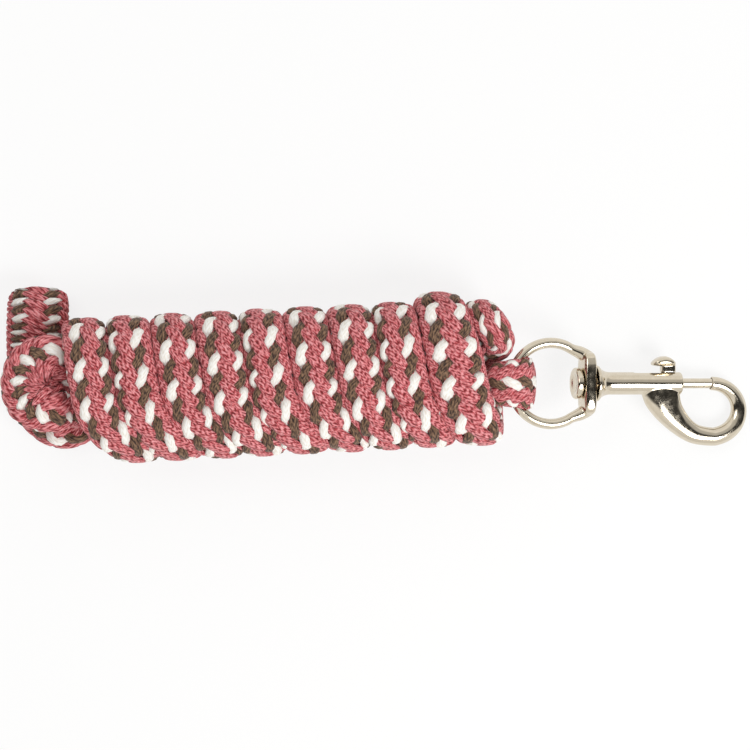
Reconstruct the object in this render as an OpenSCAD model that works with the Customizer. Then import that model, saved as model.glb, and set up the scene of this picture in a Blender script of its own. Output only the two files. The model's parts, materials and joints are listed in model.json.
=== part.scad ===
// Lead rope: a braided rope wound into a hank, with a swivel bolt snap on one end.
// Millimetres. The hank lies along X on the plane Z = 0, and the snap points to +X.

/* [Hank] */
// Distance from one turn of the hank to the next
turn_pitch = 18.4; // [18.2:0.1:24]
// Width of the rope in a turn, along the hank
turn_w = 16; // [12:0.1:16.1]
// Thickness of the rope in a turn, squeezed against the core
turn_t = 14; // [10:0.1:15]
// Width across the hank, over its turns
hank_w = 60; // [59:0.5:76]
// Height of the hank, over its turns, before the flat underside is cut
hank_h = 48; // [47:0.5:62]
// How far a turn leans along the hank on its upper side, more than on its underside
turn_lean = 5.2; // [0:0.1:6]
// How far a turn bows along the hank at the middle of its upper side
turn_bow = 3.3; // [0:0.1:3.4]
// Depth of the flat underside
flat_depth = 2; // [0:0.1:3]

/* [Core] */
// Width of the rope in the two straight runs inside the turns
core_w = 14.8; // [12:0.1:15]
// Thickness of the rope in the two straight runs inside the turns
core_t = 14; // [10:0.1:14.4]
// Distance between the two straight runs
core_step = 15.5; // [15.4:0.1:16]

/* [Rope ends] */
// Width of the rope where it bends back at the far end of the hank
bend_w = 19.4; // [14:0.1:19.8]
// Thickness of the rope where it bends back at the far end of the hank
bend_t = 18; // [12:0.1:18.4]
// Width of the flattened rope in the loop through the eye
bight_w = 17; // [12:0.1:17.4]
// Thickness of the flattened rope in the loop through the eye
bight_t = 6.8; // [4:0.1:7.4]
// Slack between the rope and the wire of the eye
bight_slack = 1.8; // [1.7:0.1:2.4]

/* [Swivel eye] */
// Thickness of the wire of the eye
wire_d = 4.4; // [3.4:0.1:5.4]
// Radius of the bow of the eye, at the middle of its wire
bow_r = 16.9; // [14:0.1:22]
// Thickness of the boss along the snap
boss_t = 5.7; // [4.5:0.1:8]
// Length of the boss across the snap
boss_l = 26; // [20:0.1:30]
// Height of the boss
boss_h = 13; // [11:0.1:16]

/* [Swivel rivet] */
// Diameter of the rivet's shank
shank_d = 7; // [6.4:0.1:9]
// Diameter of the rivet's head
head_d = 13.2; // [11:0.1:16]
// Thickness of the rivet's head
head_t = 2.8; // [2.2:0.1:4]
// Depth of the dish in the rivet's head
dish_depth = 1; // [0.4:0.1:1.6]
// Length of the rivet that is pressed into the barrel
plug_l = 4; // [2:0.1:6]

/* [Snap body] */
// Diameter of the barrel
barrel_d = 9.5; // [8.6:0.1:12]
// Length of the barrel from its collar face to its front end
barrel_l = 37.7; // [34:0.1:46]
// Diameter of the collar
collar_d = 15.2; // [13:0.1:20]
// Length of the collar's bell
collar_l = 6.5; // [5:0.1:9]
// Opening of the hook, from the front of the barrel to the tip of the hook
hook_gap = 13.4; // [10:0.1:18]
// Reach of the hook past its tip, at the middle of its bar
hook_reach = 12.4; // [9:0.1:16]
// Drop of the hook below the barrel's axis, at the middle of its bar
hook_drop = 22.4; // [18:0.1:28]
// Width and height of the hook's bar at its tip
tip_w = 5.8; // [5.4:0.1:7.5]
// Width of the hook's bar at the bottom of its bend
bar_w = 7.8; // [6:0.1:10]
// Height of the hook's bar at the bottom of its bend
bar_h = 7; // [6:0.1:8.5]

/* [Bolt] */
// Diameter of the bolt where it closes the hook
bolt_d = 4.2; // [3.4:0.1:4.6]
// Diameter of the bolt inside the barrel
slider_d = 6; // [4.8:0.1:6.3]
// Length of the bolt inside the barrel, which guides it
slider_l = 7; // [5:0.1:9]
// Travel of the bolt
bolt_travel = 12; // [6:0.1:12.4]
// Depth of the seat for the bolt in the tip of the hook
seat_depth = 1.2; // [0.8:0.1:2]
// Diameter of the thumb tab's neck
neck_d = 3.2; // [2:0.1:4]
// Length of the thumb tab's head
tab_l = 10.2; // [8:0.1:14]
// Width of the thumb tab's head
tab_w = 8.4; // [6:0.1:12]
// Rise of the thumb tab over the barrel
tab_rise = 6.7; // [5:0.1:9]

/* [Spring] */
// Diameter of the spring's wire
spring_wire = 0.6; // [0.4:0.05:0.8]
// Turns of the spring
spring_turns = 9; // [5:1:12]

/* [Rest pose] */
// Droop of the snap from the hank to the floor, in degrees
snap_tilt = 14; // [10:0.5:18]

/* [Fits] */
// Radial clearance of what turns or slides in a bore
running_fit = 0.06; // [0.02:0.01:0.1]
// Clearance along the axis of what turns or slides
end_float = 0.3; // [0.2:0.05:0.5]
// Radial clearance of the spring in the barrel's bore
spring_fit = 0.46; // [0.3:0.01:0.6]

/* [Hidden] */
$fn = 96;
rope_colour = "#b8475f";
nickel_colour = "#c9bfa8";
steel_colour = "#9a9a9c";

// Small helpers
function unit(v) = v / norm(v);
function bent(v, power) = sign(v) * pow(abs(v), power);
function running_sum(steps) = [for (i = 0, sum = 0; i < len(steps); sum = sum + steps[i], i = i + 1) sum];

// Places along the snap, on its axis from the middle of the eye's wire in the loop of rope
boss_mid = 2 * bow_r - 1;
boss_back = boss_mid - boss_t / 2;
boss_front = boss_mid + boss_t / 2;
head_back = boss_back - end_float;
barrel_back = boss_front + end_float;
barrel_front = barrel_back + barrel_l;
tip_face = barrel_front + hook_gap;
plug_front = barrel_back + plug_l;
guide_wall = 3.3;
bore_front = barrel_front - guide_wall;
slider_front = bore_front - end_float;
slider_back = slider_front - slider_l;
bolt_front = tip_face + seat_depth - end_float;
neck_x = slider_front - slider_l / 2;

// Radii of the snap
shank_r = shank_d / 2;
barrel_r = barrel_d / 2;
collar_r = collar_d / 2;
bolt_r = bolt_d / 2;
slider_r = slider_d / 2;
bore_r = slider_r + running_fit;
spring_d = 2 * (bore_r - spring_fit) - spring_wire;

// Stations along the hook: place, width of the bar and height of the bar
bend_steps = 16;
root_h = barrel_d - 0.9;
hook_arm = [
    [tip_face - 7.3, 1.2 - hook_drop, 8.4, 7.4],
    [tip_face - 13, 4.8 - hook_drop, 9.6, 7.8],
    [tip_face - 18.2, 10.4 - hook_drop, 12.2, 8.2],
    [tip_face - 21.2, 15.9 - hook_drop, 15.5, root_h],
    [tip_face - 22.4, 20.6 - hook_drop, 17, root_h]
];
function hook_bend(a) =
    let (grow = (1 - sin(a)) / 2)
    [
        tip_face + hook_reach * cos(a),
        hook_drop / 2 * (sin(a) - 1),
        tip_w + (bar_w - tip_w) * grow,
        tip_w + (bar_h - tip_w) * grow
    ];
hook_stations = concat([for (k = [0 : bend_steps]) hook_bend(90 - 180 * k / bend_steps)], hook_arm);

// Where the snap hangs in the rope, with its hook on the floor
floor_gap = 0.05;
pivot_x = 56.8;
pivot_y = -3.5;
function hook_depth(s) = s[0] * sin(snap_tilt) + norm([s[2] * sin(snap_tilt), s[3] * cos(snap_tilt)]) / 2;
pivot_z = max([for (s = hook_stations) hook_depth(s)]) + floor_gap;

// Turns of the hank, about a line a little askew of X. A turn's angle is 0 on top, 90 at +Y, 180 on the floor.
rings_per_turn = 24;
first_angle = 75;
last_angle = 3405;
first_turn_x = 52.7;
squareness = 0.77;
hank_mid_z = hank_h / 2 - flat_depth;
function hank_mid_y(x) = 0.05 * x - 0.8;

// The second turn lies over the end of the rope, so it is lifted and a little larger
lifted_turn = 1.25;
lift_spread = 0.45;
lift = 1.8;
lift_swell = 1.6;
function lifted(angle) = exp(-pow((angle / 360 - lifted_turn) / lift_spread, 2));
function turn_x(angle) =
    first_turn_x - turn_pitch * angle / 360 - turn_lean / 2 * sin(angle) - turn_bow * pow(max(cos(angle), 0), 2);
function turn_station(angle) =
    let (
        x = turn_x(angle),
        half_w = (hank_w - turn_t) / 2 + lift_swell * lifted(angle),
        half_h = (hank_h - turn_t) / 2,
        y = hank_mid_y(x) + lift * lifted(angle) + half_w * bent(sin(angle), squareness),
        z = hank_mid_z + half_h * bent(cos(angle), squareness)
    )
    [x, y, z, turn_w, turn_t, 0, -sin(angle), -cos(angle)];

// Route of the rope outside its turns: place, width and thickness
far_x = turn_x(last_angle);
bight_r = wire_d / 2 + bight_slack + bight_t / 2;
loop_in = [
    [45.5, -4, 30.5, 15, 6.4],
    [50, -3.7, 33.4, 16.4, 6.6]
];
loop_out = [
    [51, -3.8, 20, 16.6, 7.4],
    [45.5, -5, 20.3, 16, 9]
];
loop_end = [40, -6.2, 20.8, core_w, 11];
bend_x = far_x - 12;
bend_y = -3.75;
bend_z = 27.6;
bend_reach = 11.4;
bend_r = 10.25;
bend_pinch = 2;
bend_out = [far_x - 5, -14.4, 23.6, 15.6, 15.6];
bend_back = [far_x - 6, 1.6, 24, 15, 15.6];
exit = [
    [40, 9.8, 22.6, 14.2, core_t],
    [47.4, 11, 25, 14.2, 14],
    [51.6, 13, 29, 15, 14],
    [49.2, 18.8, 32.6, 16, 14]
];
tail = [
    [far_x + 0.2, -6, 5.4, 17.2, 14],
    [far_x, -14, 6, 17.2, 14.4],
    [far_x - 4.6, -20, 7.2, 17.4, 15.6],
    [far_x - 12, -19.6, 7.8, 17.6, 16],
    [far_x - 18.6, -13, 8, 18, 16.4],
    [far_x - 21, -3, 8.2, 18.6, 16.6],
    [far_x - 20.6, 7, 8.8, 19.6, 16.8],
    [far_x - 19.6, 16, 10, 21.4, 17.2],
    [far_x - 19, 24, 10.6, 22, 17.6],
    [far_x - 19, 29.4, 8.6, 21.6, 17.4],
    [far_x - 19, 32.6, 6.4, 20, 16.6]
];
core_x = [24, -30, -90, far_x + 4];
function core_run(x, side) = [x, hank_mid_y(x) + side * core_step / 2, hank_mid_z, core_w, core_t];
function bight(a) =
    [pivot_x + bight_r * cos(a), pivot_y, pivot_z + bight_r * sin(a), bight_w, bight_t, cos(a), 0, sin(a)];
function end_bend(a) =
    [bend_x + bend_reach * cos(a), bend_y + bend_r * sin(a), bend_z, bend_w - bend_pinch * pow(cos(a), 2), bend_t];

// Stations of the whole rope: the same rows, with the direction that its thickness is measured in
up = [0, 0, 1];
function facing(rows, way) = [for (r = rows) concat(r, way)];
loop_knots = concat(
    facing(loop_in, up),
    [for (a = [90 : -45 : -90]) bight(a)],
    facing(loop_out, -up),
    facing([loop_end], -up)
);
core_knots = facing(
    concat(
        [for (x = core_x) core_run(x, -1)],
        [bend_out],
        [for (a = [270 : -45 : 90]) end_bend(a)],
        [bend_back],
        [for (i = [len(core_x) - 1 : -1 : 0]) core_run(core_x[i], 1)],
        exit
    ),
    -up
);
turn_step = 360 / rings_per_turn;
turn_stations = [for (a = [first_angle : turn_step : last_angle]) turn_station(a)];
lead_knots = concat(loop_knots, core_knots, [turn_stations[0], turn_stations[1]]);
last_turn = len(turn_stations) - 1;
tail_knots = concat([turn_stations[last_turn - 1], turn_stations[last_turn]], facing(tail, up));

// A smooth curve through the knots, with two stations from each knot to the next
per_knot = 2;
function curve(knots, i, t) =
    let (
        a = knots[max(i - 1, 0)],
        b = knots[i],
        c = knots[i + 1],
        d = knots[min(i + 2, len(knots) - 1)]
    )
    b + t / 2 * (c - a + t * (2 * a - 5 * b + 4 * c - d + t * (3 * (b - c) + d - a)));
function smooth(knots, first, last) =
    [for (i = [first : last - 1]) for (k = [0 : per_knot - 1]) curve(knots, i, k / per_knot)];
lead_stations = smooth(lead_knots, 0, len(lead_knots) - 2);
tail_stations = concat(smooth(tail_knots, 2, len(tail_knots) - 1), [tail_knots[len(tail_knots) - 1]]);
to_tail = curve(tail_knots, 1, 1 / 2);
rope = concat(lead_stations, turn_stations, [to_tail], tail_stations);
loop_count = per_knot * (len(loop_knots) - 1);
hank_count = len(lead_stations) + last_turn;

// Rings of points along a row of stations
function place(s) = [s[0], s[1], s[2]];
function way_along(row, i) = unit(place(row[min(i + 1, len(row) - 1)]) - place(row[max(i - 1, 0)]));
function square_to(v, along) = unit(v - (v * along) * along);
function on_floor(p, slide, floor_z) = p[2] < floor_z ? p - slide * ((p[2] - floor_z) / slide[2]) : p;
function ring_angles(sides) = [for (k = [0 : sides - 1]) 360 * (k + (sides % 4 == 0 ? 0.5 : 0)) / sides];
function ring(row, i, sides, floor_z = 0) =
    let (
        s = row[i],
        along = way_along(row, i),
        out = square_to([s[5], s[6], s[7]], along),
        across = cross(along, out),
        angles = ring_angles(sides),
        half_w = s[3] / 2 / max([for (a = angles) cos(a)]),
        half_t = s[4] / 2 / max([for (a = angles) sin(a)])
    )
    [for (a = angles) on_floor(place(s) + across * half_w * cos(a) + out * half_t * sin(a), out, floor_z)];

// One closed tube over a row of rings
module tube(rings) {
    sides = len(rings[0]);
    last = (len(rings) - 1) * sides;
    points = [for (r = rings) for (p = r) p];
    walls = [
        for (i = [0 : len(rings) - 2])
            for (k = [0 : sides - 1])
                let (
                    next = (k + 1) % sides,
                    low = i * sides,
                    high = low + sides
                )
                each [[low + k, low + next, high + next], [low + k, high + next, high + k]]
    ];
    caps = [for (k = [1 : sides - 2]) each [[0, k + 1, k], [last, last + k, last + k + 1]]];
    polyhedron(points, concat(walls, caps));
}

// Least gap of a tube to itself, between rings that are further apart along it than beside it
function middle(ring) = [for (p = ring) 1] * ring / len(ring);
function least_gap(rings, apart, reach) =
    let (
        mids = [for (r = rings) middle(r)],
        steps = [for (i = [0 : len(mids) - 1]) norm(mids[min(i + 1, len(mids) - 1)] - mids[i])],
        sums = running_sum(steps)
    )
    min([
        for (i = [0 : len(rings) - 1])
            for (j = [i + 1 : 1 : len(rings) - 1])
                if (sums[j] - sums[i] > apart && norm(mids[i] - mids[j]) < reach)
                    each [for (p = rings[i]) for (q = rings[j]) norm(p - q)]
    ]);

// Rope
end_sides = 8;
turn_sides = 6;

module rope_eye() {
    color(rope_colour) tube([for (i = [0 : loop_count]) ring(rope, i, end_sides)]);
}

module rope_hank() {
    rings = [for (i = [loop_count : hank_count]) ring(rope, i, turn_sides)];
    echo(hank_turns = (last_angle - first_angle) / 360, hank_gap = least_gap(rings, 45, hank_w / 2));
    color(rope_colour) tube(rings);
}

module rope_tail() {
    color(rope_colour) tube([for (i = [hank_count : len(rope) - 1]) ring(rope, i, end_sides)]);
}

// Swivel bolt snap, drawn along X from the eye's wire in the loop of rope
module on_snap() {
    translate([pivot_x, pivot_y, pivot_z]) rotate([0, snap_tilt, 0]) children();
}

module from(x) {
    translate([x, 0, 0]) rotate([0, 90, 0]) children();
}

module bow() {
    buried_angle = 20;
    leg_sink = 0.3;
    leg_flare = 1;
    leg_y = boss_l / 2 - wire_d / 2;
    leg_end = [boss_mid - bow_r, leg_y];
    leg_angle = atan2(leg_y, leg_end[0]) + acos(bow_r / norm(leg_end));
    leg_l = sqrt(leg_end * leg_end - bow_r * bow_r);
    translate([bow_r, 0, 0]) {
        rotate([0, 0, buried_angle])
            rotate_extrude(angle = 360 - 2 * buried_angle) translate([bow_r, 0]) circle(d = wire_d);
        for (side = [0, 1])
            mirror([0, side, 0])
                translate(bow_r * [cos(leg_angle), sin(leg_angle), 0])
                    rotate([0, 90, leg_angle - 90])
                        cylinder(h = leg_l, d1 = wire_d - leg_sink, d2 = wire_d + leg_flare);
    }
}

module boss() {
    face_crown_r = 63;
    edge_crown_r = 14;
    intersection() {
        translate([boss_back, -boss_l / 2, -boss_h / 2]) cube([boss_t, boss_l, boss_h]);
        from(0) cylinder(h = boss_front + 1, d = boss_l);
        translate([boss_front - face_crown_r, 0, -boss_h]) cylinder(h = 2 * boss_h, r = face_crown_r);
        translate([boss_front - edge_crown_r, boss_l, 0])
            rotate([90, 0, 0]) cylinder(h = 2 * boss_l, r = edge_crown_r);
    }
}

module swivel_eye() {
    color(nickel_colour) on_snap() difference() {
        union() {
            bow();
            boss();
        }
        from(boss_back - 1) cylinder(h = boss_t + 2, r = shank_r + running_fit);
    }
}

module rivet_head() {
    rim_r = 0.9;
    head_r = head_d / 2;
    dish_half = head_r - 2;
    dish_r = (dish_half * dish_half + dish_depth * dish_depth) / (2 * dish_depth);
    rotate_extrude() difference() {
        union() {
            square([head_r - rim_r, head_t]);
            translate([0, rim_r]) square([head_r, head_t - 2 * rim_r]);
            for (h = [rim_r, head_t - rim_r]) translate([head_r - rim_r, h]) circle(r = rim_r);
        }
        translate([0, dish_depth - dish_r]) circle(r = dish_r);
    }
}

module swivel_rivet() {
    color(nickel_colour) on_snap() {
        from(head_back - head_t) rivet_head();
        from(head_back - 1) cylinder(h = barrel_back - head_back + 1, r = shank_r);
        from(barrel_back - 1) cylinder(h = plug_l + 1, r = bore_r);
    }
}

module barrel() {
    rim_l = 1.2;
    flare = collar_r - barrel_r;
    bell_l = collar_l - rim_l;
    bell_r = (bell_l * bell_l + flare * flare) / (2 * flare);
    rotate_extrude() {
        square([barrel_r, barrel_l]);
        difference() {
            square([collar_r, collar_l]);
            translate([barrel_r + bell_r, collar_l]) circle(r = bell_r);
        }
    }
}

module hook() {
    sides = 16;
    last = len(hook_stations) - 1;
    rings = [
        for (i = [0 : last])
            let (
                s = hook_stations[i],
                ahead = hook_stations[min(i + 1, last)],
                behind = hook_stations[max(i - 1, 0)],
                along = i == 0 ? [1, 0] : unit([ahead[0] - behind[0], ahead[1] - behind[1]]),
                across = [along[1], -along[0], 0]
            )
            [
                for (a = ring_angles(sides))
                    [s[0], s[1], 0] + across * s[2] / 2 * cos(a) + up * s[3] / 2 * sin(a)
            ]
    ];
    tube(rings);
}

module slot() {
    slot_w = neck_d + 2 * end_float;
    translate([neck_x - bolt_travel, 0, -slot_w / 2]) cube([bolt_travel, barrel_d, slot_w]);
    for (x = [neck_x - bolt_travel, neck_x])
        translate([x, 0, 0]) rotate([-90, 0, 0]) cylinder(h = barrel_d, d = slot_w);
}

module snap_body() {
    color(nickel_colour) on_snap() difference() {
        union() {
            from(barrel_back) barrel();
            hook();
        }
        from(barrel_back - 1) cylinder(h = bore_front - barrel_back + 1, r = bore_r);
        from(bore_front - 1) cylinder(h = guide_wall + 2, r = bolt_r + running_fit);
        from(tip_face - 1) cylinder(h = seat_depth + 1, r = bolt_r + end_float);
        slot();
    }
}

// Bolt, its thumb tab and its spring
neck_foot = -slider_r / 2;
tab_foot = barrel_r + end_float;

module bolt() {
    tip_chamfer = 0.5;
    color(nickel_colour) on_snap() difference() {
        union() {
            from(slider_back) cylinder(h = slider_l, r = slider_r);
            from(slider_back + 1) cylinder(h = bolt_front - tip_chamfer - slider_back - 1, r = bolt_r);
            from(bolt_front - tip_chamfer) cylinder(h = tip_chamfer, r1 = bolt_r, r2 = bolt_r - tip_chamfer);
        }
        translate([neck_x, neck_foot, 0]) rotate([-90, 0, 0]) cylinder(h = slider_d, d = neck_d);
    }
}

module thumb_tab() {
    stem_l = 6.2;
    stem_w = 4.4;
    end_r = 1.8;
    crown_r = 2.2;
    end_drop = 2.6;
    stem_back = neck_x - neck_d / 2;
    stem_front = stem_back + stem_l;
    head_top = barrel_r + tab_rise;
    head_balls = [
        [stem_front - tab_l + end_r, head_top - end_drop, end_r],
        [stem_front - tab_l / 2, head_top - crown_r, crown_r],
        [stem_front - end_r, head_top - end_drop, end_r]
    ];
    color(nickel_colour) on_snap() {
        translate([neck_x, neck_foot, 0])
            rotate([-90, 0, 0]) cylinder(h = tab_foot + 1 - neck_foot, d = neck_d);
        translate([stem_back, tab_foot, -stem_w / 2]) cube([stem_l, head_top - end_drop - tab_foot, stem_w]);
        hull()
            for (ball = head_balls)
                for (side = [-1, 1])
                    translate([ball[0], ball[1], side * (tab_w / 2 - ball[2])]) sphere(r = ball[2], $fn = 24);
    }
}

module bolt_spring() {
    rings_per_curl = 8;
    spring_r = spring_d / 2;
    seat_gap = 0.05;
    back = plug_front + seat_gap;
    front = slider_back - seat_gap;
    lead = 2 * spring_wire;
    steps = spring_turns * rings_per_curl;
    curls = [
        for (k = [0 : steps])
            let (
                a = 360 * k / rings_per_curl,
                x = back + lead + (front - back - 2 * lead) * k / steps
            )
            [x, spring_r * cos(a), spring_r * sin(a), spring_wire, spring_wire, 0, cos(a), sin(a)]
    ];
    foot = [back, spring_r, 0, spring_wire, spring_wire, 0, 1, 0];
    straight = [spring_wire, 0, 0, 0, 0, 0, 0, 0];
    top = [front, spring_r, 0, spring_wire, spring_wire, 0, 1, 0];
    row = concat([foot, foot + straight], curls, [top - straight, top]);
    rings = [for (i = [0 : len(row) - 1]) ring(row, i, turn_sides, -spring_d)];
    echo(spring_gap = least_gap(rings, spring_d, spring_d));
    color(steel_colour) on_snap() tube(rings);
}

rope_eye();
rope_hank();
rope_tail();
swivel_eye();
swivel_rivet();
snap_body();
bolt();
thumb_tab();
bolt_spring();
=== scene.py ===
import json
import math

import bmesh
import bpy
import numpy as np
from mathutils import Matrix, Vector


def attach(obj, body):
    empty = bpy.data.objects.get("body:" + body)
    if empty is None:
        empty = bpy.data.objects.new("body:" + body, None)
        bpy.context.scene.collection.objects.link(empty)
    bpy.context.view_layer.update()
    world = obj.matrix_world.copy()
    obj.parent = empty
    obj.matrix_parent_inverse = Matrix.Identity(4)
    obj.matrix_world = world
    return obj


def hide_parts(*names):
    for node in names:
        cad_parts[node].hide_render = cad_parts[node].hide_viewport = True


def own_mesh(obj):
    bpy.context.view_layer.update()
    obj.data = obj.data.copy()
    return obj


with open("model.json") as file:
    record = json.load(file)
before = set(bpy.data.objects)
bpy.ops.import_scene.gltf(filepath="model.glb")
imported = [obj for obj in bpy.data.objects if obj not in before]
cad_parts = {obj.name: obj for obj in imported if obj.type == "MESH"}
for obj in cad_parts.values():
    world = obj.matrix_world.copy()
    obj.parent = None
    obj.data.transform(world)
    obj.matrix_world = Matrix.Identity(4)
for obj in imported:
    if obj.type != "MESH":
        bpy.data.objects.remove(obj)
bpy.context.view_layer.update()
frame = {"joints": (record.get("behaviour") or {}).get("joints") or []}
joints = {joint["name"]: joint for joint in frame["joints"]}
pivot = np.array(joints["eye_swing"]["pos_m"])

# Camera, straight above the hank
VIEW_WIDTH = 0.3125
VIEW_PLANE_Z = 0.022
VIEW_DISTANCE = 1.6
SENSOR = 36.0


def make_camera():
    data = bpy.data.cameras.new("camera")
    data.sensor_width = SENSOR
    data.lens = SENSOR * VIEW_DISTANCE / VIEW_WIDTH
    camera = bpy.data.objects.new("camera", data)
    camera.location = (0, 0, VIEW_PLANE_Z + VIEW_DISTANCE)
    bpy.context.scene.collection.objects.link(camera)
    bpy.context.scene.camera = camera


# Meshes made of rings of points
def unit(vectors):
    return vectors / np.linalg.norm(vectors, axis=-1, keepdims=True)


def link(name, mesh):
    piece = bpy.data.objects.new(name, mesh)
    bpy.context.scene.collection.objects.link(piece)
    return piece


def superellipse(angles, power):
    """How far a squared-off circle reaches at each angle. A power of 2 is a circle."""
    return (np.abs(np.cos(angles)) ** power + np.abs(np.sin(angles)) ** power) ** (-1 / power)


def tube_faces(rings, sides):
    """Faces of a closed tube: its walls as a grid of four-sided faces, then its two end caps."""
    ring, side = np.meshgrid(np.arange(rings - 1), np.arange(sides), indexing="ij")
    after = (side + 1) % sides
    low, high = ring * sides, (ring + 1) * sides
    walls = np.stack([low + side, low + after, high + after, high + side], axis=-1).reshape(-1, 4)
    last_ring = (rings - 1) * sides
    caps = [list(reversed(range(sides))), list(range(last_ring, last_ring + sides))]
    return walls.tolist() + caps


def mesh_of(name, tubes):
    """One mesh of several closed tubes, facing outwards."""
    points, faces = [], []
    for rings in tubes:
        first = len(points)
        faces += [[first + corner for corner in face] for face in tube_faces(*rings.shape[:2])]
        points += rings.reshape(-1, 3).tolist()
    mesh = bpy.data.meshes.new(name)
    mesh.from_pydata(points, [], faces)
    shape = bmesh.new()
    shape.from_mesh(mesh)
    bmesh.ops.recalc_face_normals(shape, faces=shape.faces)
    shape.to_mesh(mesh)
    shape.free()
    return mesh


def circle(sides):
    """Angles of points that lie evenly round a circle."""
    return 2 * math.pi * (np.arange(sides) + 0.5) / sides


def lathe(profile, sides=72):
    """A tube round the snap's axis, from rows of a place along it and a radius."""
    turn = circle(sides)
    return np.array([[(x, r * math.cos(a), r * math.sin(a)) for a in turn] for x, r in profile])


def post(x, low, high, half_l, half_w, power, sides=48):
    """A tube that stands across the snap, along y."""
    turn = circle(sides)
    reach = superellipse(turn, power)
    ring_x = x + half_l * reach * np.cos(turn)
    ring_z = half_w * reach * np.sin(turn)
    return np.array([np.stack([ring_x, np.full(sides, y), ring_z], axis=1) for y in (low, high)])


def sweep(rows, sides=48):
    """A tube along a flat curve, from rows of x, y, width, height and squareness."""
    rows = np.array(rows)
    along = unit(np.gradient(rows[:, :2], axis=0))
    turn = circle(sides)
    reach = superellipse(turn[None, :], rows[:, 4:5])
    across = rows[:, 2:3] / 2 * reach * np.cos(turn)
    x = rows[:, 0:1] + along[:, 1:2] * across
    y = rows[:, 1:2] - along[:, 0:1] * across
    z = rows[:, 3:4] / 2 * reach * np.sin(turn)
    return np.stack([x, y, z], axis=-1)


# Route of the rope, in metres. A station is a place, a width, a thickness and the way the thickness faces.
TURN_PITCH = 0.0184
TURN_W = 0.016
TURN_T = 0.014
HANK_W = 0.060
HANK_H = 0.048
TURN_LEAN = 0.0078
TURN_BOW = 0.0033
FAR_SHIFT = 0.006
SHIFT_FROM = 1.75
SHIFT_TURNS = 7.0
FLAT_DEPTH = 0.002
CORE_W = 0.0148
CORE_T = 0.014
CORE_STEP = 0.0155
FIRST_ANGLE = 75
LAST_ANGLE = 3405
FIRST_TURN_X = 0.0527
SQUARENESS = 0.77

# The second turn from the snap lies further to +Y and is wider, and its neighbours a little
LIFTED_TURN = 1.25
LIFT_SPREAD = 0.45
LIFT = 0.0018
LIFT_SWELL = 0.0016

# The hank's middle line, which lies a little askew
HANK_MID_Z = HANK_H / 2 - FLAT_DEPTH
HANK_SLOPE = 0.05
HANK_ASIDE = 0.0008
UP = np.array((0.0, 0.0, 1.0))


def bent(value, power):
    """A power of a value, with the value's own sign."""
    return math.copysign(abs(value) ** power, value)


def hank_mid_y(x):
    return HANK_SLOPE * x - HANK_ASIDE


def turn_x(angle):
    """Turns lean, bow on top, and towards the far end lie back to the snap on their -Y side."""
    sine, cosine = math.sin(math.radians(angle)), math.cos(math.radians(angle))
    far_share = min(max((angle / 360 - SHIFT_FROM) / SHIFT_TURNS, 0), 1)
    shift = FAR_SHIFT * far_share * max(-sine, 0) ** 2
    lean = TURN_LEAN / 2 * sine + TURN_BOW * max(cosine, 0) ** 2
    return FIRST_TURN_X - TURN_PITCH * angle / 360 - lean + shift


def turn_station(angle):
    """A station of the turns: angle 0 is on top, 90 at +Y and 180 on the floor."""
    sine, cosine = math.sin(math.radians(angle)), math.cos(math.radians(angle))
    lifted = math.exp(-(((angle / 360 - LIFTED_TURN) / LIFT_SPREAD) ** 2))
    x = turn_x(angle)
    half_w = (HANK_W - TURN_T) / 2 + LIFT_SWELL * lifted
    half_h = (HANK_H - TURN_T) / 2
    y = hank_mid_y(x) + LIFT * lifted + half_w * bent(sine, SQUARENESS)
    z = HANK_MID_Z + half_h * bent(cosine, SQUARENESS)
    return (x, y, z, TURN_W, TURN_T, 0, -sine, -cosine)


FAR_X = turn_x(LAST_ANGLE)
LOOP_IN = [(0.0455, -0.004, 0.0305, 0.015, 0.0064), (0.050, -0.0037, 0.0334, 0.0164, 0.0066)]
LOOP_OUT = [
    (0.051, -0.0038, 0.020, 0.0166, 0.0074),
    (0.0455, -0.005, 0.0203, 0.016, 0.009),
    (0.040, -0.0062, 0.0208, CORE_W, 0.011),
]
CORE_X = (0.024, -0.030, -0.090, FAR_X + 0.004)
BEND_OUT = (FAR_X - 0.005, -0.0144, 0.0236, 0.0156, 0.0156)
BEND_BACK = (FAR_X - 0.006, 0.0016, 0.024, 0.015, 0.0156)
CORE_EXIT = [
    (0.040, 0.0098, 0.0226, 0.0142, CORE_T),
    (0.0474, 0.011, 0.025, 0.0142, 0.014),
    (0.0516, 0.013, 0.029, 0.015, 0.014),
    (0.0492, 0.0188, 0.0326, 0.016, 0.014),
]
TAIL = [
    (FAR_X + 0.0002, -0.006, 0.0054, 0.0172, 0.014),
    (FAR_X, -0.014, 0.006, 0.0172, 0.0144),
    (FAR_X - 0.0046, -0.020, 0.0072, 0.0174, 0.0156),
    (FAR_X - 0.012, -0.0196, 0.0078, 0.0176, 0.016),
    (FAR_X - 0.0186, -0.013, 0.008, 0.018, 0.0164),
    (FAR_X - 0.021, -0.003, 0.0082, 0.0186, 0.0166),
    (FAR_X - 0.0206, 0.007, 0.0088, 0.0196, 0.0168),
    (FAR_X - 0.0196, 0.016, 0.010, 0.0214, 0.0172),
    (FAR_X - 0.019, 0.024, 0.0106, 0.022, 0.0176),
    (FAR_X - 0.019, 0.0294, 0.0086, 0.0216, 0.0174),
    (FAR_X - 0.019, 0.0326, 0.0064, 0.020, 0.0166),
    (FAR_X - 0.019, 0.0372, 0.0060, 0.0196, 0.016),
]
BIGHT_R = 0.0074
BIGHT_W = 0.017
BIGHT_T = 0.0068
BEND_REACH = 0.0114
BEND_R = 0.01025
BEND_W = 0.0194
BEND_T = 0.018
BEND_PINCH = 0.002
BEND_MID = (FAR_X - 0.012, -0.00375, 0.0276)
KNOT_STEPS = 16
TURN_STEP = 3


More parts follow.
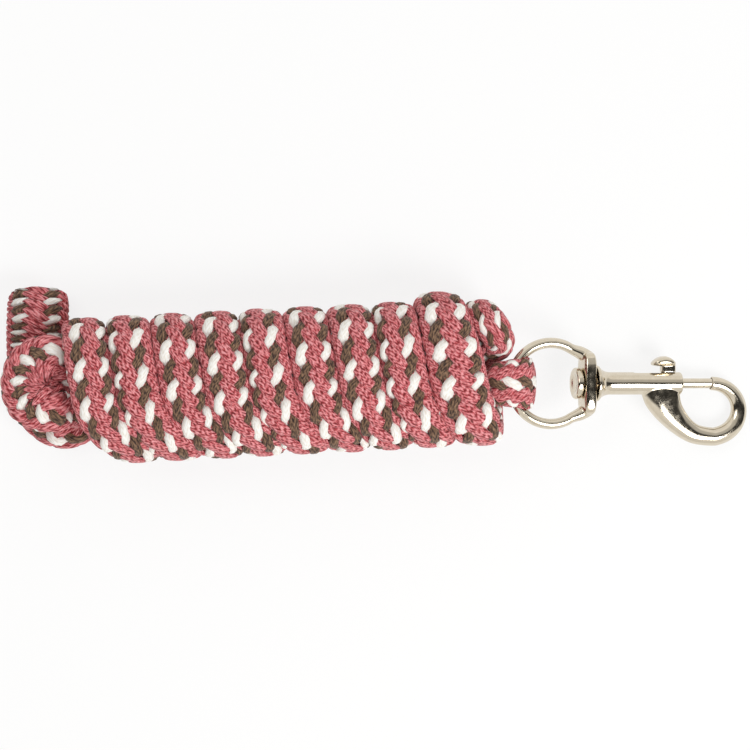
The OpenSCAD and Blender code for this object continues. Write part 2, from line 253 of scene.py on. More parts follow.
def bight(angle):
    """A station of the loop round the bar of the eye."""
    sine, cosine = math.sin(math.radians(angle)), math.cos(math.radians(angle))
    x, y, z = pivot[0] + BIGHT_R * cosine, pivot[1], pivot[2] + BIGHT_R * sine
    return (x, y, z, BIGHT_W, BIGHT_T, cosine, 0, sine)


def end_bend(angle):
    """A station of the bend at the far end of the hank."""
    sine, cosine = math.sin(math.radians(angle)), math.cos(math.radians(angle))
    x, y = BEND_MID[0] + BEND_REACH * cosine, BEND_MID[1] + BEND_R * sine
    return (x, y, BEND_MID[2], BEND_W - BEND_PINCH * cosine**2, BEND_T)


def core_run(x, side):
    """A station of one of the two straight runs inside the hank. side is -1 or 1."""
    return (x, hank_mid_y(x) + side * CORE_STEP / 2, HANK_MID_Z, CORE_W, CORE_T)


def facing(rows, way):
    """The rows as stations whose thickness faces one way."""
    return [(*row, *way) for row in rows]


def smooth(knots, first, last):
    """Stations of a smooth curve through the knots, from one of them to another."""
    knots = np.array(knots)
    rows = []
    for i in range(first, last):
        a, b, c, d = (knots[min(max(k, 0), len(knots) - 1)] for k in range(i - 1, i + 3))
        for t in np.arange(KNOT_STEPS) / KNOT_STEPS:
            rows.append(b + t / 2 * (c - a + t * (2 * a - 5 * b + 4 * c - d + t * (3 * (b - c) + d - a))))
    return rows


def rope_stations():
    """Every station of the rope, from its short end at the eye to the tip of its tail."""
    loop = facing(LOOP_IN, UP) + [bight(a) for a in (90, 45, 0, -45, -90)] + facing(LOOP_OUT, -UP)
    out_and_back = (
        [core_run(x, -1) for x in CORE_X]
        + [BEND_OUT]
        + [end_bend(a) for a in (270, 225, 180, 135, 90)]
        + [BEND_BACK]
        + [core_run(x, 1) for x in reversed(CORE_X)]
        + CORE_EXIT
    )
    lead_angle = 15
    first_turn = [turn_station(FIRST_ANGLE), turn_station(FIRST_ANGLE + lead_angle)]
    last_turn = [turn_station(LAST_ANGLE - lead_angle), turn_station(LAST_ANGLE)]
    lead = loop + facing(out_and_back, -UP) + first_turn
    turns = [turn_station(a) for a in range(FIRST_ANGLE, LAST_ANGLE, TURN_STEP)]
    tail = last_turn + facing(TAIL, UP)
    return np.array(smooth(lead, 0, len(lead) - 2) + turns + smooth(tail, 1, len(tail) - 1) + [tail[-1]])


# Braid of the rope: lengths in metres, angles in radians, and shares of the rope's radius
RIGHT, LEFT = 1, -1
RING_STEP = 0.0011
LAY = 0.071
PER_WAY = 10
COLUMNS = PER_WAY / 2

# A strand: its middle, how far it weaves in and out, and its section
STRAND_SIDES = 10
STRAND_MID = 0.73
STRAND_WEAVE = 0.12
STRAND_HALF_W = {RIGHT: 0.2, LEFT: 0.255}
STRAND_HALF_T = 0.14
STRAND_SQUARE = 2.7

# A float, where a strand lies on top: how straight, long, steep at its ends and full it is
FLOAT_STRAIGHT = 0.4
FLOAT_SHARE = {RIGHT: -0.22, LEFT: 0.55}
FLOAT_STEEP = 2.2
FLOAT_BULGE = 0.12

# Turns are fuller and squarer than the rest, and the braid twists to and fro along them
TURN_SWELL_W = 0.19
TURN_SWELL_T = 0.13
TURN_SQUARE = 3.1
TURN_SOFT = 0.03
TWIST = 0.3
TWIST_L = 0.41

# Ends close to a dome, and the floor presses flat what lies on it
END_DOME = 0.005
END_OPEN = 0.002
FLOOR_SOFT = 0.005
FLOOR_CLEAR = 0.0002

# Stretches of the rope that differ from the rest. A reach is how far along the rope each goes, in metres.
TAIL_REACH = 0.07
TAIL_TWIST = 0.45
LOOP_REACH = 0.018
LOOP_SPREAD = 0.22
LOOP_THIN = 0.18
LOOP_WEAVE = 0.45
EXIT_REACH = 0.012
EXIT_PINCH = 0.14
LOOSE_REACH = 0.028
LOOSE_ANGLE = 355
LOOSE_FILL = 0.0026
FAR_REACH = 0.022
FAR_FILL = 0.0018
FAR_SQUARE = 1.2
FAR_TWIST = 0.314
FAR_TUCK = 0.3
TUCK_SHARE = 0.5
TUCK_STEEP = 1.5
CORNER_REACH = 0.008
CORNER_FILL = 0.0016

# Where the braid is pushed together: a station, by how much, and the reach
PUSHED = (
    (bight(0), 0.35, 0.02),
    (end_bend(180), 0.9, 0.030),
    (CORE_EXIT[2], 0.55, 0.022),
    (TAIL[-1], 2.0, 0.05),
)


def spaced_stations(stations):
    """The stations again, an even step apart, with the distance along the rope of each."""
    along = np.concatenate([[0], np.cumsum(np.linalg.norm(np.diff(stations[:, :3], axis=0), axis=1))])
    at = np.linspace(0, along[-1], round(along[-1] / RING_STEP) + 1)
    return at, np.stack([np.interp(at, along, column) for column in stations.T], axis=1)


class Rope:
    """The rope's centreline, with the size and the directions of its cross-section at each ring."""

    def __init__(self):
        self.at, rows = spaced_stations(rope_stations())
        self.length = self.at[-1]
        self.middle = rows[:, :3]
        self.along = unit(np.gradient(self.middle, axis=0))
        facing_way = rows[:, 5:8]
        self.out = unit(facing_way - (facing_way * self.along).sum(1, keepdims=True) * self.along)
        self.side = np.cross(self.out, self.along)
        self.in_turns = self.turn_share()
        self.in_loop = self.around(bight(0), LOOP_REACH)
        dome = self.dome()
        self.half_w = rows[:, 3] / 2 * dome * (1 + TURN_SWELL_W * self.in_turns)
        self.half_w *= 1 + LOOP_SPREAD * self.in_loop
        self.half_t = rows[:, 4] / 2 * dome * (1 + TURN_SWELL_T * self.in_turns)
        self.half_t *= 1 - LOOP_THIN * self.in_loop
        self.turned = self.strand_turns()
        self.in_bend = self.around(end_bend(180), FAR_REACH)
        self.squareness = 2 + (TURN_SQUARE - 2) * self.in_turns + FAR_SQUARE * self.in_bend
        self.twist = TWIST * np.sin(2 * math.pi * self.at / TWIST_L) * self.in_turns
        self.twist += TAIL_TWIST * self.around(TAIL[-1], TAIL_REACH) + FAR_TWIST * self.in_bend
        self.fill_out()

    def fill_out(self):
        """Widens the bend at the far end and the loose turn at the near end, and pinches the core's exit."""
        loose = self.around(turn_station(LOOSE_ANGLE), LOOSE_REACH)
        corners = self.around(end_bend(135), CORNER_REACH) + self.around(end_bend(225), CORNER_REACH)
        fill = FAR_FILL * self.in_bend + LOOSE_FILL * loose
        self.half_w += fill + CORNER_FILL * corners
        self.middle = self.middle + fill[:, None] * self.side
        pinch = 1 - EXIT_PINCH * self.around(CORE_EXIT[2], EXIT_REACH)
        self.half_w *= pinch
        self.half_t *= pinch

    def distance_to(self, station):
        """How far along the rope a station is."""
        return self.at[np.linalg.norm(self.middle - station[:3], axis=1).argmin()]

    def around(self, station, reach):
        """1 at a station, falling softly to 0 a little more than the reach away from it."""
        return np.exp(-(((self.at - self.distance_to(station)) / reach) ** 2))

    def dome(self):
        """How far each end closes: 1 along the rope, falling round to nearly 0 at its tips."""
        from_tip = np.minimum(self.at, self.length - self.at)
        open_share = np.clip(from_tip / END_DOME, END_OPEN, 1)
        return np.sqrt(1 - (1 - open_share) ** 2)

    def turn_share(self):
        """1 in the turns and the tail, and 0 before them, with a soft change between."""
        return np.clip((self.at - self.distance_to(turn_station(FIRST_ANGLE))) / TURN_SOFT, 0, 1)

    def strand_turns(self):
        """The angle that a strand has gone round the rope at each ring."""
        closer = sum(amount * self.around(station, reach) for station, amount, reach in PUSHED)
        rate = 2 * math.pi / LAY * (1 + closer)
        return np.concatenate([[0], np.cumsum(rate[:-1] * np.diff(self.at))])


def strand_points(rope, way, index):
    """Rings of points of one strand, which winds to the right or to the left."""
    offset = 0 if way == RIGHT else math.pi / PER_WAY
    angle = way * rope.turned + 2 * math.pi * index / PER_WAY + offset
    lift = np.tanh(FLOAT_STEEP * (way * np.cos(COLUMNS * angle) + FLOAT_SHARE[way]))
    angle = angle - way * FLOAT_STRAIGHT / COLUMNS * np.sin(COLUMNS * angle)
    angle = angle + math.pi / COLUMNS - math.pi / 2 + rope.twist
    middle = STRAND_MID + STRAND_WEAVE * (1 + LOOP_WEAVE * rope.in_loop) * lift
    if way == RIGHT:
        inner_side = np.clip(TUCK_SHARE + TUCK_STEEP * np.cos(angle), 0, 1)
        middle = middle - FAR_TUCK * rope.in_bend * inner_side
    bulge = 1 + FLOAT_BULGE * lift
    round_strand = -2 * math.pi * np.arange(STRAND_SIDES) / STRAND_SIDES
    flat = superellipse(round_strand, STRAND_SQUARE)
    angles = angle[:, None] + (STRAND_HALF_W[way] * bulge / middle)[:, None] * flat * np.cos(round_strand)
    radii = middle[:, None] + (STRAND_HALF_T * bulge)[:, None] * flat * np.sin(round_strand)
    radii *= superellipse(angles, rope.squareness[:, None])
    across = radii * np.cos(angles) * rope.half_w[:, None]
    outwards = radii * np.sin(angles) * rope.half_t[:, None]
    points = rope.middle[:, None, :] + across[:, :, None] * rope.side[:, None, :]
    points += outwards[:, :, None] * rope.out[:, None, :]
    return points


def settle(points, lowest):
    """Presses what would be below the floor flat, more the lower it is."""
    squeeze = (FLOOR_SOFT - FLOOR_CLEAR) / (FLOOR_SOFT - lowest)
    low = points[..., 2] < FLOOR_SOFT
    points[..., 2] = np.where(low, FLOOR_SOFT - (FLOOR_SOFT - points[..., 2]) * squeeze, points[..., 2])
    return points


def strands_piece(name, rope, strands, lowest):
    """One mesh of several strands, with a map of each strand's length and girth, and one to bake on."""
    tubes = [settle(strand_points(rope, way, index), lowest) for way, index in strands]
    mesh = mesh_of(name, tubes)
    mesh.shade_smooth()
    add_maps(mesh, rope, len(strands))
    return link(name, mesh)


def add_maps(mesh, rope, count):
    """Maps: "strand" has metres along a strand and turns round it; "OFBake" lays the strands out in rows."""
    ring, side = np.meshgrid(np.arange(len(rope.at) - 1), np.arange(STRAND_SIDES), indexing="ij")
    corner_ring = np.stack([ring, ring, ring + 1, ring + 1], axis=-1).reshape(-1, 4)
    corner_side = np.stack([side, side + 1, side + 1, side], axis=-1).reshape(-1, 4)
    chunks = 7
    margin = 0.06
    chunk_rings = math.ceil(len(ring) / chunks)
    chunk = (ring // chunk_rings).reshape(-1, 1)
    caps = np.zeros((2 * STRAND_SIDES, 2))
    walls = np.stack([rope.at[corner_ring], corner_side / STRAND_SIDES], axis=-1).reshape(-1, 2)
    strand_map, bake_map = [], []
    for k in range(count):
        strand_map += [walls, caps]
        across = (corner_ring - chunk * chunk_rings) / chunk_rings
        row = k * chunks + chunk
        up = (row + margin + (1 - 2 * margin) * corner_side / STRAND_SIDES) / (count * chunks)
        bake_map += [np.stack([across, up], axis=-1).reshape(-1, 2), caps]
    for map_name, values in (("strand", strand_map), ("OFBake", bake_map)):
        layer = mesh.uv_layers.new(name=map_name)
        layer.uv.foreach_set("vector", np.concatenate(values).astype(np.float32).ravel())


# Shader nodes
class Shader:
    """A new material, with a short way to add its nodes."""

    def __init__(self, name):
        self.material = bpy.data.materials.new(name)
        self.material.use_nodes = True
        self.tree = self.material.node_tree
        self.surface = self.tree.nodes["Principled BSDF"]

    def add(self, kind, inputs=(), output=0, **settings):
        """Adds a node and returns one of its outputs. An input is a value or another node's output."""
        node = self.tree.nodes.new("ShaderNode" + kind)
        for name, value in settings.items():
            setattr(node, name, value)
        for key, value in dict(inputs).items():
            self.set(node.inputs[key], value)
        return node.outputs[output]

    def set(self, socket, value):
        """Links a socket to another node's output, or gives it a value."""
        if isinstance(value, bpy.types.NodeSocket):
            self.tree.links.new(value, socket)
        else:
            socket.default_value = value

    def math(self, operation, a, b=0.0):
        return self.add("Math", {0: a, 1: b}, operation=operation)

    def total(self, terms):
        """The sum of several outputs, each times its own number."""
        result = 0.0
        for output, number in terms:
            result = self.add("Math", {0: output, 1: number, 2: result}, operation="MULTIPLY_ADD")
        return result

    def noise(self, place, scale, detail):
        """A soft random pattern, with its middle at a half."""
        inputs = {"Vector": place, "Scale": scale, "Detail": detail}
        return self.add("TexNoise", inputs, output="Fac")

    def ranged(self, value, start=(0.0, 1.0), end=(0.0, 1.0)):
        """A value taken from one range to another, and held inside it."""
        return self.add("MapRange", {0: value, 1: start[0], 2: start[1], 3: end[0], 4: end[1]})

    def mix(self, share, a, b):
        """A colour between two colours."""
        inputs = {"Factor": share, "A": a, "B": b}
        node = self.tree.nodes.new("ShaderNodeMix")
        node.data_type = "RGBA"
        for name, value in inputs.items():
            matching = [s for s in node.inputs if s.name == name and s.enabled]
            self.set(matching[0], value)
        return next(s for s in node.outputs if s.enabled)

    def finish(self, **inputs):
        """Sets the surface's inputs, named with _ for a space, and returns the material."""
        for name, value in inputs.items():
            self.set(self.surface.inputs[name.replace("_", " ")], value)
        return self.material


def linear(red, green, blue):
    """A colour for a shader, from values that a screen shows, of 11 to 255."""
    offset, power = 0.055, 2.4
    shares = [value / 255 for value in (red, green, blue)]
    return (*(((share + offset) / (1 + offset)) ** power for share in shares), 1)


# Yarn: stitches in metres, in rows round a strand and in turns, then the noises and the shares that they have
STITCH_L = 0.0019
STITCH_ROWS = 6
STITCH_SLANT = 0.9
STITCH_WANDER = 3.0
CLOUD_SCALE = 260.0
FIBRE_SCALE = 1500.0
STREAK_ALONG = 600.0
STREAK_AROUND = 24.0
RELIEF_STITCH = 0.12
RELIEF_FIBRE = 0.4
RELIEF_DEPTH = 0.0004
# The hollows between stitches get the yarn's dark colour, a painted shade
HOLLOW_SHADE_RANGE = (0.28, 0.6)
# Pale flecks: partly the fibres' own paler colour, partly a painted highlight along the stitches
FLECK_AND_HIGHLIGHT_FIBRE, FLECK_AND_HIGHLIGHT_STREAK, FLECK_AND_HIGHLIGHT_STITCH = 0.3, 0.7, 0.05
FLECK_AND_HIGHLIGHT_RANGE = (0.44, 0.66)
YARN_ROUGHNESS = (0.68, 0.92)


def yarn_material(name, dark, middle, light, fleck_and_highlight_share):
    """Knitted yarn: small stitches along the strand, with painted shade in their hollows, and pale flecks on
    top that are partly the fibres' own colour and partly painted highlight.
    """
    shader = Shader(name)
    turn = 2 * math.pi
    split = shader.tree.nodes.new("ShaderNodeSeparateXYZ")
    shader.set(split.inputs[0], shader.add("UVMap", uv_map="strand"))
    along, around = split.outputs[0], split.outputs[1]
    place = shader.add("TexCoord", output="Object")
    cloud = shader.noise(place, CLOUD_SCALE, 3.0)
    fibre = shader.noise(place, FIBRE_SCALE, 3.0)
    far_along = shader.total([(along, STREAK_ALONG)])
    far_around = shader.total([(around, STREAK_AROUND)])
    streak = shader.noise(shader.add("CombineXYZ", {0: far_along, 1: far_around}), 1.0, 2.0)
    leg = shader.math("PINGPONG", shader.total([(around, 2.0 * STITCH_ROWS)]), 1.0)
    phase = shader.total([(along, turn / STITCH_L), (leg, turn * STITCH_SLANT), (cloud, STITCH_WANDER)])
    stitch = shader.math("SINE", phase)
    relief = shader.total([(stitch, RELIEF_STITCH), (streak, 1.0)])
    # Painted shade: the dark colour fills the hollows between the stitches
    base = shader.mix(shader.ranged(relief, HOLLOW_SHADE_RANGE), dark, middle)
    # Pale flecks, partly the fibres' own colour and partly painted highlight that follows the stitches
    fleck_and_highlight = shader.total([(fibre, FLECK_AND_HIGHLIGHT_FIBRE), (streak, FLECK_AND_HIGHLIGHT_STREAK), (stitch, FLECK_AND_HIGHLIGHT_STITCH)])
    colour = shader.mix(shader.ranged(fleck_and_highlight, FLECK_AND_HIGHLIGHT_RANGE, (0.0, fleck_and_highlight_share)), base, light)
    height = shader.total([(relief, 1.0), (fibre, RELIEF_FIBRE)])
    return shader.finish(
        Base_Color=colour,
        Roughness=shader.ranged(fibre, end=YARN_ROUGHNESS),
        Normal=shader.add("Bump", {"Strength": 0.5, "Distance": RELIEF_DEPTH, "Height": height}),
        Sheen_Weight=0.15,
        Sheen_Roughness=0.5,
    )


def nickel_material():
    """Polished nickel on a casting: a warm mirror, a little wavy, with dull marks."""
    shader = Shader("nickel")
    place = shader.add("TexCoord", output="Object")
    wave = shader.noise(place, scale=130.0, detail=1.0)
    dull = shader.noise(place, scale=420.0, detail=5.0)
    rough = shader.ranged(dull, start=(0.35, 0.75), end=(0.09, 0.22))
    colour = shader.mix(dull, linear(226, 217, 200), linear(208, 196, 174))
    bump = shader.add("Bump", {"Strength": 0.12, "Distance": 0.0006, "Height": wave})
    return shader.finish(Base_Color=colour, Metallic=1.0, Roughness=rough, Normal=bump)


def steel_material():
    """Bright drawn spring wire, with fine marks along it."""
    shader = Shader("spring_steel")
    place = shader.add("TexCoord", output="Object")
    marks = shader.noise(place, scale=900.0, detail=4.0)
    rough = shader.ranged(marks, end=(0.2, 0.45))
    colour = shader.mix(marks, linear(150, 150, 152), linear(196, 196, 198))
    return shader.finish(Base_Color=colour, Metallic=1.0, Roughness=rough)


# Yarns: the dark colour painted as shade in the hollows, the yarn's colour, the pale colour of its fibres and
# painted highlights, and how much that pale colour shows
YARNS = {
    "rope_pink": ((106, 16, 20), (203, 70, 78), (250, 200, 202), 0.6),
    "rope_white": ((232, 226, 215), (246, 244, 239), (253, 253, 251), 0.5),
    "rope_brown": ((40, 25, 18), (90, 62, 45), (172, 138, 106), 0.58),
}

# Pieces of the rope: the yarn, the way that its strands wind, and the first of every second strand
ROPE_PIECES = {
    "rope_pink_1": ("rope_pink", LEFT, 0),
    "rope_pink_2": ("rope_pink", LEFT, 1),
    "rope_white": ("rope_white", RIGHT, 0),
    "rope_brown": ("rope_brown", RIGHT, 1),
}


def make_rope():
    rope = Rope()
    lowest = float((rope.middle[:, 2] - rope.half_t * np.abs(rope.out[:, 2])).min())
    materials = {
        yarn: yarn_material(yarn, linear(*dark), linear(*middle), linear(*light), fleck_and_highlight_share)
        for yarn, (dark, middle, light, fleck_and_highlight_share) in YARNS.items()
    }
    for name, (yarn, way, first) in ROPE_PIECES.items():
        piece = strands_piece(name, rope, [(way, k) for k in range(first, PER_WAY, 2)], lowest)
        piece.data.materials.append(materials[yarn])
        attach(piece, "rope")
        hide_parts("rope_eye", "rope_hank", "rope_tail")


# Sizes of the snap, in metres from the pivot along its axis
WIRE_R = 0.0022
BOW_R = 0.0169
BOSS_MID, BOSS_T, BOSS_L, BOSS_H = 0.0328, 0.0057, 0.026, 0.013
HEAD_BACK, HEAD_R, HEAD_T, DISH_R, DISH_DEPTH = 0.02965, 0.0066, 0.0028, 0.0046, 0.001
SHANK_R, EYE_BORE_R = 0.0035, 0.00356
BARREL_BACK, BARREL_FRONT, BARREL_R = 0.03595, 0.07365, 0.00475
COLLAR_R, COLLAR_RIM, COLLAR_L = 0.0076, 0.0012, 0.0065
BORE_R, BORE_FRONT, PLUG_FRONT = 0.00306, 0.07035, 0.03995
GUIDE_R = 0.00216
TIP_FACE, SEAT_R, SEAT_DEPTH = 0.08705, 0.0024, 0.0012
HOOK_REACH, HOOK_DROP = 0.0124, 0.0224
HOOK_TIP_D, HOOK_GROW_W, HOOK_GROW_H = 0.0058, 0.002, 0.0012
SLIDER_R, SLIDER_BACK, SLIDER_FRONT = 0.003, 0.06305, 0.07005
BOLT_R, BOLT_FRONT = 0.0021, 0.08795
NECK_X, NECK_R, SLOT_R, BOLT_TRAVEL = 0.06655, 0.0016, 0.0019, 0.012
SPRING_R, SPRING_WIRE_R, SPRING_TURNS = 0.0023, 0.0003, 9

snap_axis = Vector(joints["swivel"]["axis"])
snap_across = Vector((0, 1, 0))
snap_turn = Matrix((snap_axis, snap_across, snap_axis.cross(snap_across))).transposed()
snap_place = Matrix.Translation(pivot) @ snap_turn.to_4x4()


def on_snap(piece, body, node, material):
    """Puts a finished piece on the snap in place of its CAD node."""
    crease = math.radians(38)
    mesh = piece.data
    mesh.transform(snap_place)
    mesh.shade_smooth()
    mesh.set_sharp_from_angle(angle=crease)
    mesh.materials.append(material)
    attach(piece, body)
    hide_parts(node)


def cast(name, tubes, cuts, grain, softening):
    """One piece run together out of overlapping tubes, with soft corners, and the cuts taken out of it."""
    piece = link(name, mesh_of(name, tubes))
    joined = piece.modifiers.new("joined", "REMESH")
    joined.mode = "VOXEL"
    joined.voxel_size = grain
    softened = piece.modifiers.new("softened", "SMOOTH")
    softened.factor = 0.5
    softened.iterations = softening
    cutters = [link("cutter", mesh_of("cutter", [cut])) for cut in cuts]
    for cutter in cutters:
        cut = piece.modifiers.new("cut", "BOOLEAN")
        cut.operation = "DIFFERENCE"
        cut.solver = "EXACT"
        cut.object = cutter
    made = piece.evaluated_get(bpy.context.evaluated_depsgraph_get())
    mesh = bpy.data.meshes.new_from_object(made)
    piece.modifiers.clear()
    piece.data = mesh
    for cutter in cutters:
        bpy.data.objects.remove(cutter)
    return piece


def bow():
    """The wire of the eye: a round bow with a straight leg to each end of the boss."""
    foot = (BOSS_MID + 0.0006, BOSS_L / 2 - 0.0026, 0.0062, 0.0070, 2.2)
    shoulder = (BOSS_MID - 0.0028, BOSS_L / 2 - 0.0004, 0.0056, 0.0058, 2.0)
    knots = [foot, shoulder]
    opening, steps = 1.0, 27
    for angle in np.linspace(opening, 2 * math.pi - opening, steps):
        knots.append((BOW_R * (1 + math.cos(angle)), BOW_R * math.sin(angle), 2 * WIRE_R, 2 * WIRE_R, 2.0))
    mirror = np.array((1, -1, 1, 1, 1))
    knots += [mirror * shoulder, mirror * foot]
    return sweep(smooth(knots, 0, len(knots) - 1) + [knots[-1]])


def boss():
    """The block of the eye that the rivet turns in: squared off, with soft edges."""
    flatness = 4.6
    steps, last_angle = 40, 1.54
    turn = circle(72)
    reach = superellipse(turn, flatness)
    rings = []
    for angle in np.linspace(-last_angle, last_angle, steps):
        x = BOSS_MID + BOSS_T / 2 * bent(math.sin(angle), 2 / flatness)
        size = bent(math.cos(angle), 2 / flatness)
        y, z = BOSS_L / 2 * size * reach * np.cos(turn), BOSS_H / 2 * size * reach * np.sin(turn)
        rings.append(np.stack([np.full(len(turn), x), y, z], axis=1))
    return np.array(rings)


def make_eye(nickel):
    bore = lathe([(BOSS_MID - BOSS_T, EYE_BORE_R), (BOSS_MID + BOSS_T, EYE_BORE_R)])
    eye = cast("swivel_eye_cast", [bow(), boss()], [bore], grain=0.00022, softening=12)
    on_snap(eye, "eye", "swivel_eye", nickel)


def make_rivet(nickel):
    back, rim = HEAD_BACK - HEAD_T, 0.0009
    dish = [(back + DISH_DEPTH * (1 - k * k), DISH_R * k) for k in (0.02, 0.2, 0.4, 0.6, 0.8, 1.0)]
    quarter = np.linspace(0, math.pi / 2, 7)
    edge = [(back + rim * (1 - math.cos(a)), HEAD_R - rim * (1 - math.sin(a))) for a in quarter]
    front = [(HEAD_BACK - rim * (1 - math.sin(a)), HEAD_R - rim * (1 - math.cos(a))) for a in quarter]
    shank = [(HEAD_BACK, SHANK_R), (BARREL_BACK, SHANK_R), (BARREL_BACK, BORE_R), (PLUG_FRONT, BORE_R)]
    rivet = link("swivel_rivet_turned", mesh_of("swivel_rivet_turned", [lathe(dish + edge + front + shank)]))
    on_snap(rivet, "snap", "swivel_rivet", nickel)


def barrel():
    """The barrel, with a bell-shaped collar at its back and a round front edge."""
    flare = COLLAR_R - BARREL_R
    bell_l = COLLAR_L - COLLAR_RIM
    bell_r = (bell_l**2 + flare**2) / (2 * flare)
    bell = [
        (BARREL_BACK + COLLAR_L - d, BARREL_R + bell_r - math.sqrt(bell_r**2 - d**2))
        for d in np.linspace(bell_l, 0, 14)
    ]
    front_round = 0.0006
    nose = [
        (BARREL_FRONT - front_round * (1 - math.sin(a)), BARREL_R - front_round * (1 - math.cos(a)))
        for a in np.linspace(0, math.pi / 2, 6)
    ]
    return lathe([(BARREL_BACK, COLLAR_R)] + bell + nose)


def hook_bend(angle):
    """A station of the hook's bend, from its tip at 90 to the bottom of the bend at -90."""
    sine, cosine = math.sin(math.radians(angle)), math.cos(math.radians(angle))
    grow = (1 - sine) / 2
    x, y = TIP_FACE + HOOK_REACH * cosine, HOOK_DROP / 2 * (sine - 1)
    return (x, y, HOOK_TIP_D + HOOK_GROW_W * grow, HOOK_TIP_D + HOOK_GROW_H * grow, 2.0)


def hook():
    """The hook, from its tip round the bend and up its arm into the barrel."""
    arm = [
        (TIP_FACE - 0.0073, 0.0012 - HOOK_DROP, 0.0084, 0.0074, 2.3),
        (TIP_FACE - 0.0130, 0.0048 - HOOK_DROP, 0.0096, 0.0078, 2.6),
        (TIP_FACE - 0.0182, 0.0104 - HOOK_DROP, 0.0122, 0.0082, 2.8),
        (TIP_FACE - 0.0212, 0.0159 - HOOK_DROP, 0.0155, 0.0086, 2.6),
        (TIP_FACE - 0.0224, 0.0206 - HOOK_DROP, 0.0170, 0.0086, 2.4),
    ]
    knots = [hook_bend(a) for a in range(90, -91, -15)] + arm
    return sweep(smooth(knots, 0, len(knots) - 1) + [np.array(arm[-1])])


def make_body(nickel):
    slot_mid = NECK_X - BOLT_TRAVEL / 2
    past = 0.001
    cuts = [
        lathe([(BARREL_BACK - past, BORE_R), (BORE_FRONT, BORE_R)]),
        lathe([(BORE_FRONT - past, GUIDE_R), (BARREL_FRONT + 2 * past, GUIDE_R)]),
        lathe([(TIP_FACE - past, SEAT_R), (TIP_FACE + SEAT_DEPTH, SEAT_R)]),
        post(slot_mid, 0, 2 * BARREL_R, BOLT_TRAVEL / 2 + SLOT_R, SLOT_R, power=8.0),
    ]
    body = cast("snap_body_cast", [barrel(), hook()], cuts, grain=0.00024, softening=10)
    on_snap(body, "snap", "snap_body", nickel)


def make_bolt(nickel):
    chamfer = 0.0005
    profile = [
        (SLIDER_BACK, SLIDER_R - chamfer),
        (SLIDER_BACK + chamfer, SLIDER_R),
        (SLIDER_FRONT, SLIDER_R),
        (SLIDER_FRONT, BOLT_R),
        (BOLT_FRONT - chamfer, BOLT_R),
        (BOLT_FRONT, BOLT_R - chamfer),
    ]
    bolt = link("bolt_turned", mesh_of("bolt_turned", [lathe(profile)]))
    on_snap(bolt, "bolt", "bolt", nickel)


def tab_head():
    """The thumb tab's head: a domed cap that overhangs its stem to the back."""
    back, front = 0.06095, 0.07115
    low, top, end_drop = 0.00705, 0.01145, 0.0022
    half_w, squareness = 0.0042, 2.5
    steps, last_angle = 40, 1.53
    turn = circle(48)
    reach = superellipse(turn, squareness)
    rings = []
    for u in np.sin(np.linspace(-last_angle, last_angle, steps)):
        close = (1 - abs(u) ** 3) ** (1 / 3)
        crown = top - end_drop * u * u
        mid = (crown + low) / 2
        y = mid + close * (crown - low) / 2 * reach * np.cos(turn)
        z = close * half_w * reach * np.sin(turn)
        x = np.full(len(turn), (back + front) / 2 + u * (front - back) / 2)
        rings.append(np.stack([x, y, z], axis=1))
    return np.array(rings)


def make_tab(nickel):
    neck_top = 0.0065
    neck = post(NECK_X, -SLIDER_R / 2, neck_top, NECK_R, NECK_R, power=2.0)
    stem_low, stem_top = BARREL_R + 0.0001, 0.009
    stem_half_l, stem_half_w = 0.0031, 0.0022
    stem_mid = NECK_X - NECK_R + stem_half_l
    stem = post(stem_mid, stem_low, stem_top, stem_half_l, stem_half_w, power=5.0)
    tab = cast("thumb_tab_cast", [neck, stem, tab_head()], [], grain=0.00012, softening=4)
    on_snap(tab, "bolt", "thumb_tab", nickel)


def make_spring(steel):
    play = 0.00005
    back, front = PLUG_FRONT + play, SLIDER_BACK - play
    wound_l = front - back - 2 * SPRING_WIRE_R
    rings_per_turn = 28
    along = np.array((1, 0, 0))
    turn = circle(10)
    rings = []
    for share in np.linspace(0, 1, rings_per_turn * SPRING_TURNS):
        around = 2 * math.pi * SPRING_TURNS * share
        out = np.array((0, math.cos(around), math.sin(around)))
        middle = SPRING_R * out + (back + SPRING_WIRE_R + wound_l * share) * along
        rings.append([middle + SPRING_WIRE_R * (math.cos(a) * out + math.sin(a) * along) for a in turn])
    spring = link("bolt_spring_wound", mesh_of("bolt_spring_wound", [np.array(rings)]))
    on_snap(spring, "snap", "bolt_spring", steel)
    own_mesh(spring)


def make_snap():
    nickel = nickel_material()
    make_eye(nickel)
    make_rivet(nickel)
    make_body(nickel)
    make_bolt(nickel)
    make_tab(nickel)
    make_spring(steel_material())


# Floor and light. The tent's stops are shares of the way from -Y to +Y, with a level of light each.
TENT = (
    (0.0, 0.8),
    (0.30, 0.95),
    (0.36, 0.03),
    (0.56, 0.03),
    (0.60, 0.55),
    (0.78, 0.6),
    (0.84, 1.0),
    (1.0, 0.9),
)
TENT_GREEN, TENT_BLUE = 0.985, 0.96


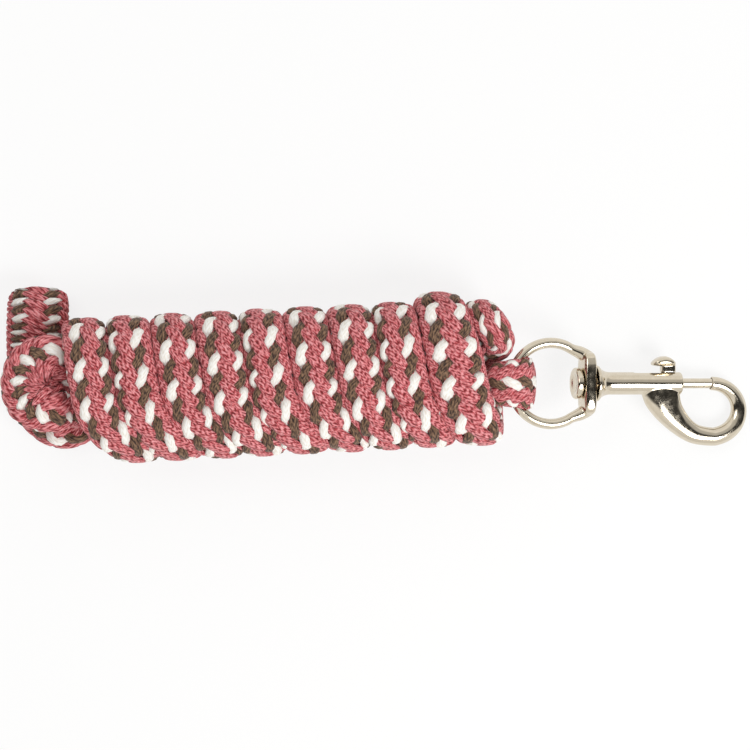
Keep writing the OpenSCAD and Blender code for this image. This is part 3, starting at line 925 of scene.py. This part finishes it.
def make_floor():
    """A white floor that still takes the object's shadow."""
    white_share = 0.8
    bpy.ops.mesh.primitive_plane_add(size=6)
    floor = bpy.context.object
    floor.name = "floor"
    shader = Shader("floor")
    shader.finish(Base_Color=linear(246, 246, 245), Roughness=0.9)
    path = shader.tree.nodes.new("ShaderNodeLightPath")
    seen = shader.math("MAXIMUM", path.outputs["Is Camera Ray"], path.outputs["Is Glossy Ray"])
    seen = shader.math("MAXIMUM", seen, path.outputs["Is Transmission Ray"])
    glow = shader.add("Emission", {"Color": (1, 1, 1, 1), "Strength": 1.0})
    share = shader.math("MULTIPLY", seen, white_share)
    lifted = shader.add("MixShader", {0: share, 1: shader.surface.outputs[0], 2: glow})
    shader.set(shader.tree.nodes["Material Output"].inputs["Surface"], lifted)
    floor.data.materials.append(shader.material)


def make_lamp(name, place, size, power):
    data = bpy.data.lights.new(name, "AREA")
    data.shape = "DISK"
    data.size = size
    data.energy = power
    lamp = bpy.data.objects.new(name, data)
    lamp.location = place
    lamp.rotation_mode = "QUATERNION"
    lamp.rotation_quaternion = (-Vector(place)).to_track_quat("-Z", "Y")
    bpy.context.scene.collection.objects.link(lamp)


def make_world():
    """A pale tent round the object, with a dark gap along the top for the metal to mirror."""
    world = bpy.data.worlds.new("studio")
    bpy.context.scene.world = world
    world.use_nodes = True
    nodes, links = world.node_tree.nodes, world.node_tree.links
    coordinate = nodes.new("ShaderNodeTexCoord")
    split = nodes.new("ShaderNodeSeparateXYZ")
    links.new(coordinate.outputs["Generated"], split.inputs[0])
    share = nodes.new("ShaderNodeMapRange")
    links.new(split.outputs["Y"], share.inputs[0])
    share.inputs["From Min"].default_value = -1.0
    ramp = nodes.new("ShaderNodeValToRGB")
    links.new(share.outputs[0], ramp.inputs[0])
    elements = ramp.color_ramp.elements
    for place, _ in TENT[2:]:
        elements.new(place)
    for element, (place, level) in zip(elements, TENT):
        element.position = place
        element.color = (level, TENT_GREEN * level, TENT_BLUE * level, 1)
    links.new(ramp.outputs[0], nodes["Background"].inputs["Color"])


def make_light():
    make_world()
    make_lamp("key", place=(0.55, -0.40, 0.80), size=0.5, power=5.9)
    make_lamp("fill", place=(-0.45, 0.35, 0.95), size=0.6, power=2.1)
    bpy.context.scene.view_settings.view_transform = "Standard"


make_camera()
make_rope()
make_snap()
make_floor()
make_light()
